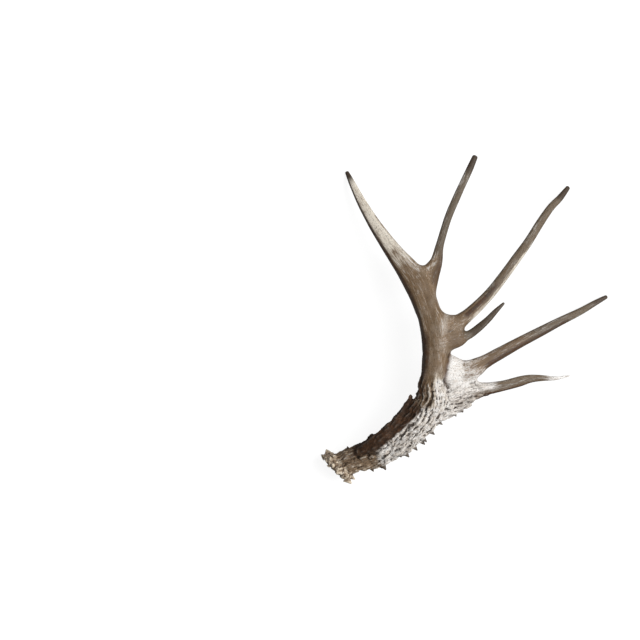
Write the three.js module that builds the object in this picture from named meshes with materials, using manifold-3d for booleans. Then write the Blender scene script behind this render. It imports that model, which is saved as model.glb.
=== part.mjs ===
// The left antler of a white-tailed deer, shed whole: a knobbed burr, one bowed main beam and
// the tines that fork from it. It lies hollow side down, on the rim of the burr, the tip of the
// main beam and the tip of the second tine.
//
// Millimetres, +Z up. The origin is on the surface that the antler lies on, under the middle
// of its outline. The burr is towards -X -Y, and the tines point towards +X and +Y.

import * as THREE from "three";
import { mergeVertices } from "three/addons/utils/BufferGeometryUtils.js";
import Module from "manifold-3d";

const wasm = await Module();
wasm.setup();

// Driving dimensions.
const GAP = 0.3; // between two pieces that meet at a fork
const BLUNT_BULGE = 0.22; // how far a branch's broad end swells, in its own radii
const CAP_RINGS = 3; // rings in the rounded end of a branch
const CUT_SIDE = 110; // side of the square slit that parts the beam at a fork

const BURR_CENTRE = new THREE.Vector3(-183.9, -214.3, 29.4);
const BURR_FACING = THREE.MathUtils.degToRad(46); // of its axis, round from +X, seen from above
const BURR_PITCH = THREE.MathUtils.degToRad(5); // of its axis, above the level
const BURR_RADIUS = 24;
const BURR_SEAT = -4.5; // how far its rough seat lies behind its centre
const BURR_NECK = 9; // how far it runs up the beam
const BURR_KNOBS = 15;
const KNOB_RADIUS = 4.4;
const KNOB_VARIATION = 1.4; // larger and smaller knobs round the burr

const SPIKE_RADIUS = 3.4;
const SPIKE_SUNK = 3; // length of a spike's root inside the beam
const SPIKE_SIDES = 6;

const UP = new THREE.Vector3(0, 0, 1);

const brown = new THREE.MeshStandardMaterial({ color: "#8a7863", roughness: 0.55, metalness: 0 });
const darkBrown = new THREE.MeshStandardMaterial({ color: "#4b3a2c", roughness: 0.6, metalness: 0 });
const ivory = new THREE.MeshStandardMaterial({ color: "#d8d2c8", roughness: 0.65, metalness: 0 });

// A station of a branch: its centre's x, y and z, its width as seen from above, and its
// thickness square to that.
const BEAM = {
  sides: 20,
  ringsPerStation: 2,
  stations: [
    [-185, -216, 29.4, 34, 34],
    [-172.5, -208.5, 32, 34, 34],
    [-158.5, -203, 37.5, 34, 34],
    [-143, -197.5, 44, 38, 36],
    [-127.5, -190.5, 50.5, 43, 38],
    [-110, -181, 57.5, 47, 40],
    [-94.5, -169.5, 64.5, 48.5, 41],
    [-78, -155.5, 71, 51, 42],
    [-61, -138, 77.5, 47.5, 42],
    [-48.5, -117, 83, 45.5, 40],
    [-48, -92, 87.5, 33, 37],
    [-44, -67, 90, 33, 36],
    [-42, -41, 91, 35, 36],
    [-44, -17, 89.5, 36, 35],
    [-50, 7, 86, 37, 34],
    [-58.8, 30, 81, 36, 32],
    [-68, 51, 76, 38, 30],
    [-81, 71, 69.5, 33, 28],
    [-97, 91.5, 62, 26.5, 25],
    [-112.5, 113, 54, 22, 21],
    [-129.5, 138, 44, 18, 18],
    [-146.5, 167, 31, 14, 14],
    [-160.5, 195, 17, 10, 10],
    [-169, 213, 3, 6, 6],
  ],
};

// Where the beam is parted, as the number of a station in BEAM: at the forks of the second,
// third and fourth tines.
const FORKS = [9, 13.5, 17];

const BROW_TINE = {
  sides: 12,
  ringsPerStation: 3,
  stations: [
    [-107, -160, 79, 18, 18],
    [-95.5, -145, 82, 14, 15],
    [-85.5, -129, 83.5, 10.5, 11],
    [-77.5, -112, 84, 6, 6],
  ],
};

const SECOND_TINE = {
  sides: 16,
  ringsPerStation: 2,
  stations: [
    [-44, -66, 84, 36, 26],
    [-25, -72, 78, 43, 30],
    [-7, -76, 72, 34, 27],
    [12, -72, 67, 28, 22],
    [29, -62, 63, 20, 18],
    [52, -49, 57.5, 17, 16],
    [81, -33, 50.5, 15, 14],
    [110, -18, 42.5, 13, 12],
    [139, -3, 32.5, 11, 11],
    [168, 11, 20.5, 9, 9],
    [191, 24, 9.5, 7, 7],
    [206, 32, 2.5, 5, 5],
  ],
};

const SECOND_TINE_FORK = {
  sides: 14,
  ringsPerStation: 2,
  stations: [
    [-42, -121, 76, 47, 24],
    [-14, -112, 70, 47, 26],
    [6, -106, 65.5, 32, 20],
    [23, -102.5, 61, 22, 17],
    [41, -99, 57.5, 17, 15],
    [61, -95, 54, 15, 14],
    [80, -90, 50, 15, 13],
    [96, -86, 46, 12, 11],
    [113, -85, 42, 9, 9],
    [132, -85.5, 37, 6, 6],
    [153, -82, 31, 3, 3],
  ],
};

const THIRD_TINE = {
  sides: 14,
  ringsPerStation: 2,
  stations: [
    [-43, -27, 87, 24, 22],
    [-25, -12, 84, 42, 26],
    [-12, -4, 81.5, 31, 22],
    [0, 2.5, 79, 22, 19],
    [10, 11, 76.5, 16, 17],
    [25, 25, 72, 15, 15],
    [41, 42, 66.5, 14, 15],
    [58, 64, 60.5, 14, 14],
    [75, 87, 54, 13, 13],
    [93, 112, 46.5, 12, 12],
    [110, 139, 38, 10, 10],
    [126, 162, 30, 9, 9],
    [139, 176, 23.5, 8, 8],
    [150, 189, 18, 5, 5],
  ],
};

const THIRD_TINE_SPUR = {
  sides: 12,
  ringsPerStation: 2,
  stations: [
    [-33, -34, 89, 22, 20],
    [-14, -31, 88.5, 24, 20],
    [-1, -25.5, 88.5, 15, 14],
    [10, -20, 89, 11, 11],
    [23, -10, 90.5, 11, 10],
    [35, 1, 92, 9, 9],
    [44, 11, 93.5, 7.5, 7.5],
    [56, 23, 95.5, 4, 4],
  ],
};

const FOURTH_TINE = {
  sides: 12,
  ringsPerStation: 2,
  stations: [
    [-62, 20, 80, 22, 22],
    [-56, 43, 77, 30, 24],
    [-49, 65, 73, 26.5, 20],
    [-40, 84, 69, 17, 15],
    [-35, 105, 65, 11, 13],
    [-29, 128, 60, 10, 12],
    [-21, 152, 54, 10, 11],
    [-11, 175, 48, 10, 10],
    [-1, 197, 42, 9, 10],
    [8, 218, 36, 9, 9],
    [15, 233, 32, 7, 7],
  ],
};

// The larger spikes along the lower beam: where each stands as the number of a station, its
// angle round the beam (0 is across to the right as the beam runs, 90 is up) and its height.
const SPIKES = [
  [1.75, 175, 4],
  [3.1, -8, 6],
  [4.05, 2, 6],
  [5.55, -10, 6],
  [6.4, 4, 5],
  [6.9, -4, 5],
  [7.15, 8, 5],
  [7.65, -6, 5.5],
  [8.2, 4, 6.5],
];

// The centre of a branch and the directions across, along and up at one of its stations.
function frameAt(branch, station) {
  const share = station / (branch.stations.length - 1);
  const along = branch.centres.getTangent(share);
  const across = new THREE.Vector3().crossVectors(along, UP).normalize();
  const rise = new THREE.Vector3().crossVectors(across, along);
  return { centre: branch.centres.getPoint(share), half: branch.halves.getPoint(share), across, along, rise };
}

function prepare(branch) {
  const centres = branch.stations.map(([x, y, z]) => new THREE.Vector3(x, y, z));
  const halves = branch.stations.map(([, , , width, depth]) => new THREE.Vector3(width / 2, depth / 2, 0));
  branch.centres = new THREE.CatmullRomCurve3(centres);
  branch.halves = new THREE.CatmullRomCurve3(halves, false, "catmullrom");
}

// A rounded end: rings that close on the axis, in front of the first station or past the last.
function capProfile(end, outward) {
  const rings = [];
  for (let i = 1; i <= CAP_RINGS; i++) {
    const angle = (i / CAP_RINGS) * (Math.PI / 2);
    const radius = i === CAP_RINGS ? 0 : Math.cos(angle);
    rings.push(new THREE.Vector2(radius, end + outward * Math.sin(angle)));
  }
  return outward < 0 ? rings.reverse() : rings;
}

// A spindle of unit radius, turned round the Y axis with its stations at y = 0, 1, 2 ..., then
// bent along the branch. It is swollen by `grow` on every side.
function branchGeometry(branch, grow = 0) {
  const last = branch.stations.length - 1;
  const profile = capProfile(0, -1);
  for (let ring = 0; ring <= last * branch.ringsPerStation; ring++) {
    profile.push(new THREE.Vector2(1, ring / branch.ringsPerStation));
  }
  profile.push(...capProfile(last, 1));

  const geometry = new THREE.LatheGeometry(profile, branch.sides);
  const position = geometry.getAttribute("position");
  for (let i = 0; i < position.count; i++) {
    const station = THREE.MathUtils.clamp(position.getY(i), 0, last);
    const { centre, half, across, along, rise } = frameAt(branch, station);
    const beyond = (position.getY(i) - station) * (station === 0 ? BLUNT_BULGE : 1);
    centre.addScaledVector(along, beyond * (Math.min(half.x, half.y) + grow));
    centre.addScaledVector(across, position.getX(i) * (half.x + grow));
    centre.addScaledVector(rise, position.getZ(i) * (half.y + grow));
    position.setXYZ(i, centre.x, centre.y, centre.z);
  }
  return geometry;
}

function solid(geometry, matrix = new THREE.Matrix4()) {
  const closed = geometry.clone().applyMatrix4(matrix);
  closed.deleteAttribute("normal");
  closed.deleteAttribute("uv");
  const merged = mergeVertices(closed, 1e-3);
  const vertProperties = merged.getAttribute("position").array;
  const triVerts = new Uint32Array(merged.index.array);
  return new wasm.Manifold(new wasm.Mesh({ numProp: 3, vertProperties, triVerts }));
}

// A matrix that stands a shape's Y axis along `direction` at `place`.
function standing(place, direction) {
  const turn = new THREE.Quaternion().setFromUnitVectors(new THREE.Vector3(0, 1, 0), direction);
  return new THREE.Matrix4().compose(place, turn, new THREE.Vector3(1, 1, 1));
}

// The burr: a thick disc that narrows to the beam, with a coronet of uneven knobs on its rim.
function burrPieces() {
  const axis = new THREE.Vector3(
    Math.cos(BURR_PITCH) * Math.cos(BURR_FACING),
    Math.cos(BURR_PITCH) * Math.sin(BURR_FACING),
    Math.sin(BURR_PITCH),
  );
  const matrix = standing(BURR_CENTRE, axis);
  const profile = new THREE.SplineCurve([
    new THREE.Vector2(0, BURR_SEAT),
    new THREE.Vector2(BURR_RADIUS * 0.7, BURR_SEAT * 0.9),
    new THREE.Vector2(BURR_RADIUS, 0),
    new THREE.Vector2(BURR_RADIUS * 0.8, BURR_NECK * 0.6),
    new THREE.Vector2(0, BURR_NECK),
  ]);
  const pieces = [solid(new THREE.LatheGeometry(profile.getPoints(10), 24), matrix)];
  for (let i = 0; i < BURR_KNOBS; i++) {
    const angle = (i / BURR_KNOBS) * Math.PI * 2;
    const radius = KNOB_RADIUS + KNOB_VARIATION * Math.sin(i * 2.4);
    const knob = new THREE.IcosahedronGeometry(radius, 1);
    knob.rotateX(i).translate(BURR_RADIUS * Math.cos(angle), 0, BURR_RADIUS * Math.sin(angle));
    pieces.push(solid(knob, matrix));
  }
  return pieces;
}

function beamSpikes() {
  return SPIKES.map(([station, degrees, height]) => {
    const { centre, half, across, rise } = frameAt(BEAM, station);
    const angle = THREE.MathUtils.degToRad(degrees);
    const place = centre.clone();
    place.addScaledVector(across, half.x * Math.cos(angle));
    place.addScaledVector(rise, half.y * Math.sin(angle));
    const outward = place.clone().sub(centre).normalize();
    place.addScaledVector(outward, (height - SPIKE_SUNK) / 2);
    const cone = new THREE.ConeGeometry(SPIKE_RADIUS, height + SPIKE_SUNK, SPIKE_SIDES);
    return solid(cone, standing(place, outward));
  });
}

// The largest of the bodies that a cut leaves: the piece itself, without stray chips.
function mainBody(cut) {
  return cut.decompose().reduce((largest, body) => (body.volume() > largest.volume() ? body : largest));
}

// A tine is cut back to the surface of what it grows from, less the gap.
function tine(branch, ...carriers) {
  const trimmed = carriers.reduce(
    (rest, carrier) => rest.subtract(solid(branchGeometry(carrier, GAP))),
    solid(branchGeometry(branch)),
  );
  return mainBody(trimmed);
}

// The main beam in four pieces, from the burr to the tip.
function beamPieces() {
  let whole = solid(branchGeometry(BEAM));
  for (const outgrowth of [...burrPieces(), ...beamSpikes()]) whole = whole.add(outgrowth);
  for (const fork of FORKS) {
    const { centre, along } = frameAt(BEAM, fork);
    const slit = new THREE.BoxGeometry(CUT_SIDE, GAP, CUT_SIDE);
    whole = whole.subtract(solid(slit, standing(centre, along)));
  }
  const height = (piece) => (piece.boundingBox().min[1] + piece.boundingBox().max[1]) / 2;
  return whole.decompose().sort((a, b) => height(a) - height(b));
}

function mesh(name, piece, material) {
  const { vertProperties, triVerts } = piece.getMesh();
  const geometry = new THREE.BufferGeometry();
  geometry.setAttribute("position", new THREE.BufferAttribute(vertProperties, 3));
  geometry.setIndex(new THREE.BufferAttribute(triVerts, 1));
  geometry.computeVertexNormals();
  const made = new THREE.Mesh(geometry, material);
  made.name = name;
  return made;
}

for (const branch of [
  BEAM,
  BROW_TINE,
  SECOND_TINE,
  SECOND_TINE_FORK,
  THIRD_TINE,
  THIRD_TINE_SPUR,
  FOURTH_TINE,
]) {
  prepare(branch);
}

const [lowerBeam, middleBeam, upperBeam, beamTip] = beamPieces();

const antler = new THREE.Group();
antler.add(
  mesh("lower_beam", lowerBeam, darkBrown),
  mesh("middle_beam", middleBeam, brown),
  mesh("upper_beam", upperBeam, brown),
  mesh("beam_tip", beamTip, ivory),
  mesh("brow_tine", tine(BROW_TINE, BEAM), darkBrown),
  mesh("second_tine", tine(SECOND_TINE, BEAM), ivory),
  mesh("second_tine_fork", tine(SECOND_TINE_FORK, BEAM, SECOND_TINE), ivory),
  mesh("third_tine", tine(THIRD_TINE, BEAM), brown),
  mesh("third_tine_spur", tine(THIRD_TINE_SPUR, BEAM, THIRD_TINE), darkBrown),
  mesh("fourth_tine", tine(FOURTH_TINE, BEAM), brown),
);

export default antler;
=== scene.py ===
"""The looks of a deer's left antler: one skin of bone in place of its ten CAD solids.

The skin is drawn as a field of distances round the branches, set with pearls, spikes and the
knobs of the burr, and grooved along its grain. Lengths are in metres, apart from the tables
and the grain, which are in millimetres.
"""

import math

import bmesh
import bpy
import numpy as np
import openvdb
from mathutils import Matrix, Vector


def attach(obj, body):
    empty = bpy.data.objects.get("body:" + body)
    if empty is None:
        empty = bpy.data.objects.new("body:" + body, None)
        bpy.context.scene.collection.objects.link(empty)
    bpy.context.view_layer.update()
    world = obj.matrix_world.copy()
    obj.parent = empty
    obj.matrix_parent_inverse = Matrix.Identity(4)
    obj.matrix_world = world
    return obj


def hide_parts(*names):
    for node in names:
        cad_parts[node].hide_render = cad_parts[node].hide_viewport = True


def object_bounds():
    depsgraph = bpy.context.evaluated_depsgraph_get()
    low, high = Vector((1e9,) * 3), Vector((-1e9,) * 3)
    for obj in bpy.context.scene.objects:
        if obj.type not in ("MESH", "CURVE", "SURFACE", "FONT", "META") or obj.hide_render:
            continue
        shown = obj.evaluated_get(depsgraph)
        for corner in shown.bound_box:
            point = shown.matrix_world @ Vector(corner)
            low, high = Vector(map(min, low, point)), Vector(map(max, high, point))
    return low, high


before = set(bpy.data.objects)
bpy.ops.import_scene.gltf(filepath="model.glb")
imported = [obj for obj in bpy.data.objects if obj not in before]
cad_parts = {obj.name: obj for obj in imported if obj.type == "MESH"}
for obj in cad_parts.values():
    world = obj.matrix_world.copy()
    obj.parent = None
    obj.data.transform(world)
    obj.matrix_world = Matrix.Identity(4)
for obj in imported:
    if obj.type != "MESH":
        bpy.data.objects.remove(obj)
cad_low, cad_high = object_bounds()

MM = 0.001
UP = np.array([0.0, 0.0, 1.0])


# ---------------------------------------------------------------- the branches

# A station of a branch, in millimetres: its centre's x, y and z, its width as seen from
# above, and its thickness square to that.
STATIONS = {
    "beam": [
        [-185, -216, 29.4, 34, 34],
        [-172.5, -208.5, 32, 34, 34],
        [-158.5, -203, 37.5, 34, 34],
        [-143, -197.5, 44, 38, 36],
        [-127.5, -190.5, 50.5, 43, 38],
        [-110, -181, 57.5, 47, 40],
        [-94.5, -169.5, 64.5, 48.5, 41],
        [-78, -155.5, 71, 51, 42],
        [-61, -138, 77.5, 47.5, 42],
        [-48.5, -117, 83, 45.5, 40],
        [-48, -92, 87.5, 33, 37],
        [-44, -67, 90, 33, 36],
        [-42.7, -41, 91, 36.4, 36],
        [-44.6, -17, 89.5, 37.2, 35],
        [-50.6, 7, 86, 34.8, 34],
        [-58.8, 30, 81, 36, 32],
        [-68, 51, 76, 38, 30],
        [-81, 71, 69.5, 33, 28],
        [-97, 91.5, 62, 26.5, 25],
        [-112.5, 113, 54, 22, 21],
        [-129.5, 138, 44, 18, 18],
        [-146.5, 167, 31, 14, 14],
        [-160.5, 195, 17, 10, 10],
        [-169, 213, 3, 6, 6],
    ],
    "brow_tine": [
        [-150, -191, 60, 12, 12],
        [-134, -181.5, 68, 18, 16],
        [-119.5, -170.5, 75, 20, 18],
        [-107, -159, 79, 18, 18],
        [-95.5, -145, 82, 14, 15],
        [-85.5, -129, 83.5, 10.5, 11],
        [-77.5, -112, 84, 6, 6],
    ],
    "second_tine": [
        [-44, -66, 84, 36, 26],
        [-25, -72, 78, 43, 30],
        [-7, -76, 72, 34, 27],
        [12, -72, 67, 28, 22],
        [29, -62, 63, 20, 18],
        [52, -49, 57.5, 18, 16],
        [81, -33, 50.5, 16, 14],
        [110, -18, 42.5, 14.5, 13],
        [139, -3, 32.5, 12.5, 12],
        [168, 11, 20.5, 10.5, 10],
        [191, 24, 9.5, 8.5, 8],
        [207, 32.5, 3, 6, 6],
    ],
    "second_tine_fork": [
        [-42, -123, 76, 51, 24],
        [-14, -112, 70, 46, 26],
        [6, -105.5, 65.5, 31, 20],
        [23, -102, 61, 21.5, 17],
        [41, -99, 57.5, 17, 15],
        [61, -95, 54, 15, 14],
        [80, -90, 50, 15, 13],
        [96, -86, 46, 12, 11],
        [113, -85, 42, 9, 9],
        [132, -85.5, 37, 6, 6],
        [153, -82, 31, 3, 3],
    ],
    "third_tine": [
        [-40, -27, 87, 14, 14],
        [-25, -16, 86, 33.5, 30],
        [-12, -6.5, 82, 23, 24],
        [0, 2.5, 79, 18, 19],
        [10, 11, 76.5, 16, 17],
        [25, 25, 72, 15.2, 15],
        [41, 42, 66.5, 14.2, 15],
        [58, 64, 60.5, 13.7, 14],
        [75, 87, 54, 13.2, 13],
        [93, 112, 46.5, 12, 12],
        [110, 139, 38, 11, 11],
        [126, 162, 30, 10, 10],
        [139.5, 176, 23.5, 9, 9],
        [151, 190.5, 17.5, 6, 6],
    ],
    "third_tine_spur": [
        [-34, -35, 93, 22, 26],
        [-14, -30.5, 91, 22, 24],
        [-1, -25.5, 90, 14, 16],
        [10, -20, 89.5, 12, 12],
        [23, -10, 90.5, 11, 10],
        [35, 1, 92, 9, 9],
        [44, 11, 93.5, 7.5, 7.5],
        [56, 23, 95.5, 4, 4],
    ],
    "fourth_tine": [
        [-58, 18, 80, 12, 12],
        [-54.5, 43, 77, 26, 24],
        [-49, 65, 73, 26, 20],
        [-40.5, 84, 69, 17.5, 15],
        [-36, 105, 65, 12, 13],
        [-29.5, 128, 60, 11, 12],
        [-21.5, 152, 54, 11, 11],
        [-11.5, 175, 48, 11, 10.5],
        [-1.5, 197, 42, 10.5, 10],
        [8.4, 218, 36, 10, 10],
        [15.6, 234.5, 32, 8.5, 8.5],
    ],
}

# How roundly each branch runs into what it grows from: along which axis that changes, from and
# to which place, and the fillets there, all in millimetres.
FILLETS = {
    "brow_tine": (1, 0, 1, 3, 3),
    "second_tine": (1, -105, -60, 4, 11),
    "second_tine_fork": (1, 0, 1, 12, 12),
    "third_tine": (1, -16, 7, 9, 22),
    "third_tine_spur": (1, 0, 1, 12, 12),
    "fourth_tine": (0, -62, -42, 14, 6),
}

LINK = 3 * MM  # length of the links that a branch is measured by


def dot(a, b):
    return np.einsum("ij,ij->i", a, b)


def unit(rows):
    return rows / np.linalg.norm(rows, axis=-1, keepdims=True)


def curve_through(stations, spacing):
    """Rows of numbers spacing apart on a smooth curve through the stations."""
    first = 2 * stations[0] - stations[1]
    last = 2 * stations[-1] - stations[-2]
    rows = np.vstack([first, stations, last])
    spans = []
    for before, start, end, after in zip(rows, rows[1:], rows[2:], rows[3:]):
        count = max(2, round(np.linalg.norm(end[:3] - start[:3]) / spacing))
        t = np.linspace(0, 1, count, endpoint=False)[:, None]
        bend = 2 * before - 5 * start + 4 * end - after
        twist = 3 * start - before - 3 * end + after
        spans.append(start + 0.5 * ((end - before) * t + bend * t**2 + twist * t**3))
    return np.vstack([*spans, stations[-1:]])


class Branch:
    """A branch as a chain of short links, and the frame that its grain follows at each."""

    def __init__(self, stations):
        table = np.array(stations, float) * MM
        numbered = np.column_stack([table, np.arange(len(table))])
        rows = curve_through(numbered, LINK)
        self.centre = rows[:, :3]
        self.half = rows[:, 3:5] / 2
        self.station = rows[:, 5]
        self.along = unit(np.gradient(self.centre, axis=0))
        self.across = unit(np.cross(self.along, UP))
        self.rise = np.cross(self.across, self.along)
        lengths = np.linalg.norm(np.diff(self.centre, axis=0), axis=1)
        self.run = np.concatenate([[0], np.cumsum(lengths)])

    def nearest_to(self, points):
        """Which row of the branch is nearest to every point."""
        squares = np.sum(self.centre**2, axis=1)
        return np.argmin(squares - 2 * points @ self.centre.T, axis=1)

    def measure(self, points):
        """Where points are on the branch: station, run, right, top, and gap to its surface."""
        last = len(self.centre) - 1
        nearest = self.nearest_to(points)
        ahead = dot(points - self.centre[nearest], self.along[nearest])
        first = np.clip(np.where(ahead < 0, nearest - 1, nearest), 0, last - 1)
        a = dot(points - self.centre[first], self.along[first])
        b = dot(points - self.centre[first + 1], self.along[first + 1])
        share = np.clip(a / np.maximum(a - b, 1e-9), 0, 1)

        def between(rows):
            part = share if rows.ndim == 1 else share[:, None]
            return rows[first] + part * (rows[first + 1] - rows[first])

        offset = points - between(self.centre)
        beyond = dot(offset, between(self.along))
        right, top = dot(offset, between(self.across)), dot(offset, between(self.rise))
        half = between(self.half)
        swell = np.sqrt(
            (right / half[:, 0]) ** 2
            + (top / half[:, 1]) ** 2
            + (beyond / half.min(axis=1)) ** 2
        )
        length = np.linalg.norm(offset, axis=1)
        return {
            "station": between(self.station),
            "run": between(self.run) + beyond,
            "right": right,
            "top": top,
            "gap": length - length / np.maximum(swell, 1e-6),
        }


branches = {name: Branch(stations) for name, stations in STATIONS.items()}


# ---------------------------------------------------------------- the field of distances

CELL = 1.5 * MM
REACH = 22 * MM  # how far from the bone the field is drawn


class Field:
    """Signed distances to the bone on a regular grid, negative inside it."""

    def __init__(self, low, high):
        self.low = np.array(low, float)
        counts = np.ceil((np.array(high, float) - self.low) / CELL).astype(int) + 1
        self.axes = [start + CELL * np.arange(n) for start, n in zip(self.low, counts)]
        self.values = self.blank()

    def blank(self):
        return np.full([len(axis) for axis in self.axes], REACH, np.float32)

    def window(self, a, b, margin):
        """The slices of the grid round two points, and the coordinates in them."""
        low = np.minimum(a, b) - margin - self.low
        high = np.maximum(a, b) + margin - self.low
        first = np.maximum(np.floor(low / CELL).astype(int), 0)
        last = np.maximum(np.ceil(high / CELL).astype(int) + 1, 0)
        slices = tuple(slice(i, j) for i, j in zip(first, last))
        return slices, np.ix_(*(axis[s] for axis, s in zip(self.axes, slices)))

    def distance_to(self, branch):
        """Distances to a branch alone."""
        distances = self.blank()
        for i in range(len(branch.centre) - 1):
            a, b = branch.centre[i], branch.centre[i + 1]
            margin = branch.half[i : i + 2].max() + REACH
            slices, grid = self.window(a, b, margin)
            here = link_distance(grid, branch, i)
            distances[slices] = np.minimum(distances[slices], here)
        return distances

    def fillet(self, name):
        """The fillet of a branch at every place of the grid."""
        axis, start, end, first, last = FILLETS[name]
        shape = [-1 if i == axis else 1 for i in range(3)]
        graded = np.interp(self.axes[axis] / MM, (start, end), (first, last))
        return graded.reshape(shape) * MM

    def add(self, distances, fillet):
        self.values = blended(self.values, distances, fillet)

    def surface(self):
        """Points and four-sided faces of the bone's surface."""
        grid = openvdb.FloatGrid(1.0)
        grid.copyFromArray(self.values / CELL)
        points, quads = grid.convertToQuads(isovalue=0.0)
        return points * CELL + self.low, quads


def link_distance(grid, branch, i):
    """Distances from the points of a grid to one link of a branch, squarer than an ellipse."""
    x, y, z = (axis - start for axis, start in zip(grid, branch.centre[i]))
    step = branch.centre[i + 1] - branch.centre[i]
    t = np.clip((x * step[0] + y * step[1] + z * step[2]) / (step @ step), 0, 1)
    x, y, z = x - t * step[0], y - t * step[1], z - t * step[2]
    across, rise = branch.across[i], branch.rise[i]
    right = x * across[0] + y * across[1] + z * across[2]
    top = x * rise[0] + y * rise[1] + z * rise[2]
    square = x * x + y * y + z * z + 1e-12
    beyond = np.maximum(square - right**2 - top**2, 0)
    half = branch.half[i]
    growth = branch.half[i + 1] - half
    half_width, half_depth = half[0] + t * growth[0], half[1] + t * growth[1]
    swell = np.abs(right / half_width) ** 3 + np.abs(top / half_depth) ** 3
    swell = swell + (beyond / half.min() ** 2) ** 1.5
    length = np.sqrt(square)
    return length - length / np.cbrt(swell)


def blended(a, b, fillet):
    """Distances to two bodies that run into each other with a rounded corner."""
    overlap = np.maximum(fillet - np.abs(a - b), 0) / fillet
    return np.minimum(a, b) - overlap**2 * fillet / 4


BURR_CENTRE = np.array([-183.9, -214.3, 29.4]) * MM
BURR_FACING = math.radians(46)  # of its axis, round from +X, seen from above
BURR_PITCH = math.radians(5)  # of its axis, above the level
BURR_AXIS = np.array(
    [
        math.cos(BURR_PITCH) * math.cos(BURR_FACING),
        math.cos(BURR_PITCH) * math.sin(BURR_FACING),
        math.sin(BURR_PITCH),
    ]
)
BURR_RING = 21 * MM  # radius of its lip
BURR_LIP = 4.5 * MM  # half the thickness of the lip
BURR_DISC = 0.7 * BURR_LIP  # half the thickness of the disc inside the lip
COLLAR_RING = 0.85 * BURR_RING  # radius of a second lip
COLLAR_RISE = 6 * MM  # of the second lip, up the beam
COLLAR_FILLET = 4 * MM
SEAT_RING = 0.8 * BURR_RING  # radius of the seat that broke from the skull
SEAT_BULGE = 6 * MM  # how far the seat stands out behind
SEAT_FILLET = 2 * MM
BEAM_END = -1.5 * MM  # of the beam itself, along the burr's axis
BEAM_FILLET = 4 * MM  # of the beam into the burr


def round_burr(field):
    """The height over the burr, up the beam, and the radius round its axis."""
    x, y, z = np.ix_(*field.axes)
    x, y, z = x - BURR_CENTRE[0], y - BURR_CENTRE[1], z - BURR_CENTRE[2]
    height = x * BURR_AXIS[0] + y * BURR_AXIS[1] + z * BURR_AXIS[2]
    return height, np.sqrt(np.maximum(x * x + y * y + z * z - height**2, 0))


def burr_distance(field):
    """Distances to the burr: a lipped disc, with a low dome where the antler was seated."""
    height, radius = round_burr(field)
    lip = np.hypot(radius - BURR_RING, height) - BURR_LIP
    collar = np.hypot(radius - COLLAR_RING, height - COLLAR_RISE) - BURR_LIP
    disc = np.maximum(radius - BURR_RING, np.abs(height) - BURR_DISC)
    lips = blended(lip, collar, COLLAR_FILLET)
    dome = (np.sqrt((radius / SEAT_RING) ** 2 + (height / SEAT_BULGE) ** 2) - 1) * SEAT_BULGE
    whole = blended(np.minimum(lips, disc), dome, SEAT_FILLET)
    return np.minimum(whole, REACH).astype(np.float32)


def draw_bone():
    """The plain skin of the bone, with its forks filled out."""
    field = Field(np.array(cad_low) - REACH, np.array(cad_high) + REACH)
    height, _ = round_burr(field)
    field.values = np.maximum(field.distance_to(branches["beam"]), BEAM_END - height)
    field.add(burr_distance(field), BEAM_FILLET)
    web = blended(
        field.distance_to(branches["second_tine"]),
        field.distance_to(branches["second_tine_fork"]),
        field.fillet("second_tine_fork"),
    )
    field.add(web, field.fillet("second_tine"))
    for name in ("third_tine_spur", "third_tine", "fourth_tine", "brow_tine"):
        field.add(field.distance_to(branches[name]), field.fillet(name))
    points, quads = field.surface()
    mesh = bpy.data.meshes.new("antler")
    mesh.from_pydata(points.tolist(), [], quads.tolist())
    return new_object("antler", mesh)


# ---------------------------------------------------------------- helpers for meshes


def new_object(name, data):
    """A new object in the scene."""
    made = bpy.data.objects.new(name, data)
    bpy.context.scene.collection.objects.link(made)
    return made


def settled(thing):
    """Turns what an object's modifiers make of it into its own plain mesh."""
    graph = bpy.context.evaluated_depsgraph_get()
    options = {"preserve_all_data_layers": True, "depsgraph": graph}
    mesh = bpy.data.meshes.new_from_object(thing.evaluated_get(graph), **options)
    thing.modifiers.clear()
    old, thing.data = thing.data, mesh
    bpy.data.meshes.remove(old)
    return thing


def grown(thing, tree, **sizes):
    """Runs a Geometry Nodes tree on an object and keeps what it makes."""
    modifier = thing.modifiers.new(tree.name, "NODES")
    modifier.node_group = tree
    for item in tree.interface.items_tree:
        if item.item_type == "SOCKET" and item.in_out == "INPUT" and item.name in sizes:
            modifier[item.identifier] = sizes[item.name]
    return settled(thing)


def joined(keeper, *others):
    """Adds the meshes of other objects to one object's mesh, and removes them."""
    gathered = bmesh.new()
    for thing in (keeper, *others):
        gathered.from_mesh(thing.data)
    gathered.to_mesh(keeper.data)
    gathered.free()
    for thing in others:
        bpy.data.objects.remove(thing)
    return keeper


def vectors_of(rows, key):
    flat = np.empty(len(rows) * 3, np.float32)
    rows.foreach_get(key, flat)
    return flat.reshape(-1, 3).astype(float)


def points_of(mesh):
    return vectors_of(mesh.vertices, "co")


def write(mesh, name, values):
    """Keeps a number or a vector for every vertex, under a name that nodes can read."""
    kind, key = ("FLOAT", "value") if values.ndim == 1 else ("FLOAT_VECTOR", "vector")
    kept = mesh.attributes.get(name) or mesh.attributes.new(name, kind, "POINT")
    kept.data.foreach_set(key, values.astype(np.float32).ravel())


# ---------------------------------------------------------------- helpers for node trees

SOCKETS = {
    "geometry": "NodeSocketGeometry",
    "number": "NodeSocketFloat",
    "count": "NodeSocketInt",
    "vector": "NodeSocketVector",
    "material": "NodeSocketMaterial",
}


def put(tree, kind, inputs=None, **settings):
    """Adds a node. Inputs are values, or the outputs that feed them, by name or number."""
    made = tree.nodes.new(kind)
    for name, value in settings.items():
        setattr(made, name, value)
    for key, value in (inputs or {}).items():
        socket = made.inputs[key]
        if isinstance(value, bpy.types.NodeSocket):
            tree.links.new(value, socket)
        else:
            socket.default_value = value
    return made


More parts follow.
